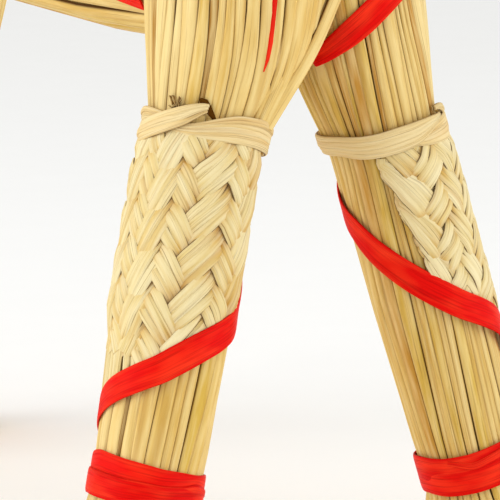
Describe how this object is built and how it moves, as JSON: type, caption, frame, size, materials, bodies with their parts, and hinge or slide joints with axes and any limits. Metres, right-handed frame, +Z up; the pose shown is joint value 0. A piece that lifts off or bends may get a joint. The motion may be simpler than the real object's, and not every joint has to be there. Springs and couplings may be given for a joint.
{
  "type": "straw goat ornament",
  "caption": "Standing goat of bundled straw with plaited leg bands, raffia ties, curved plaited horns and red ribbon windings.",
  "frame": {"origin": "on the floor, under the middle of the goat's bounding box", "axes": "+Z up, the goat faces -Y, its right side is at -X"},
  "size_m": [0.1948, 0.4064, 0.4494],
  "materials": {
    "straw": "natural rye straw, satin",
    "plaited_straw": "pale plaited straw, satin",
    "raffia": "twisted raffia",
    "red_ribbon": "red satin raffia ribbon"
  },
  "bodies": {
    "root": {"beard": "straw", "beard_binding": "red_ribbon", "body": "straw", "body_ribbon": "red_ribbon", "ear_left": "straw", "ear_right": "straw", "foreleg_left": "straw", "foreleg_left_ankle_binding": "red_ribbon", "foreleg_left_braid": "plaited_straw", "foreleg_left_raffia_tie": "raffia", "foreleg_left_ribbon": "red_ribbon", "foreleg_right": "straw", "foreleg_right_ankle_binding": "red_ribbon", "foreleg_right_braid": "plaited_straw", "foreleg_right_raffia_tie": "raffia", "foreleg_right_ribbon": "red_ribbon", "head": "straw", "hindleg_left": "straw", "hindleg_left_ankle_binding": "red_ribbon", "hindleg_left_braid": "plaited_straw", "hindleg_left_raffia_tie": "raffia", "hindleg_left_ribbon": "red_ribbon", "hindleg_right": "straw", "hindleg_right_ankle_binding": "red_ribbon", "hindleg_right_braid": "plaited_straw", "hindleg_right_raffia_tie": "raffia", "hindleg_right_ribbon": "red_ribbon", "horn_left": "plaited_straw", "horn_left_binding": "red_ribbon", "horn_right": "plaited_straw", "horn_right_binding": "red_ribbon", "muzzle_binding": "red_ribbon", "neck": "straw", "neck_binding": "red_ribbon", "shoulder_ribbon_left": "red_ribbon", "shoulder_ribbon_right": "red_ribbon", "tail": "straw", "tail_binding": "red_ribbon"}
  },
  "joints": []
}
